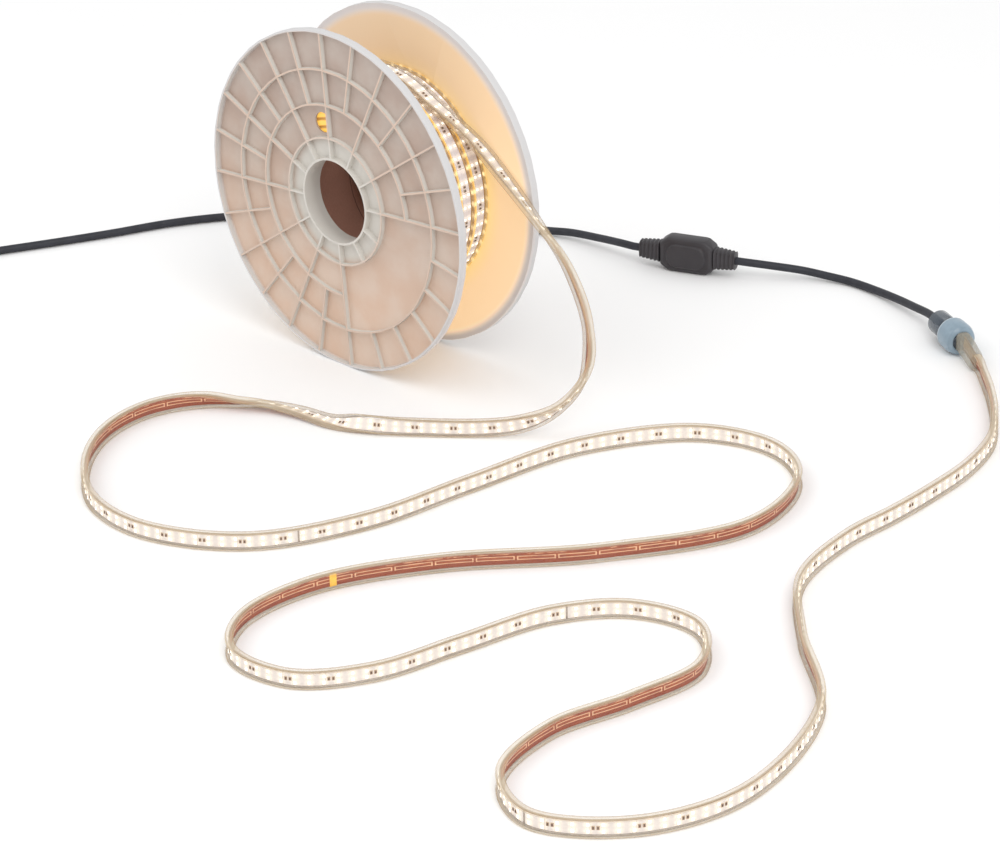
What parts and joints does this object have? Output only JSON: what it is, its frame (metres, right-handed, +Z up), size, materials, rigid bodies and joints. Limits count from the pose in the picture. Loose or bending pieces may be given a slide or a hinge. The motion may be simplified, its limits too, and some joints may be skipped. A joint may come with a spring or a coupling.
{
  "type": "led rope light on reel",
  "caption": "Flat LED rope light wound on an upright ribbed plastic reel, its free length run out over the floor to a connector, mains lead with rectifier box, coiled lead and plug.",
  "frame": {"origin": "On the floor under the middle of the reel, which stands on the rims of its two flanges.", "axes": "+Y along the reel's axis from the front flange to the rear flange, +Z up, +X to the side where the strip leaves the reel."},
  "size_m": [1.2436, 0.9106, 0.3153],
  "materials": {
    "reel_plastic": "satin light grey moulding",
    "tube_board": "dark brown board",
    "strip_sleeve": "clear sleeve over lit strip",
    "connector_clear": "clear moulding",
    "nut_blue": "translucent bluish moulding",
    "lead_black": "satin black sheath",
    "pin_nickel": "nickel plated"
  },
  "bodies": {
    "root": {"front_flange": "reel_plastic", "rear_flange": "reel_plastic", "core_tube": "tube_board", "wound_strip": "strip_sleeve", "free_strip": "strip_sleeve", "strip_hood": "connector_clear", "locking_nut": "nut_blue", "lead_collar": "connector_clear", "short_lead": "lead_black", "rectifier_box": "lead_black", "relief_strip_side": "lead_black", "relief_mains_side": "lead_black", "supply_lead": "lead_black", "lead_coil": "lead_black", "plug_tail": "lead_black", "plug_body": "lead_black", "plug_pin_left": "pin_nickel", "plug_pin_right": "pin_nickel"}
  },
  "joints": []
}
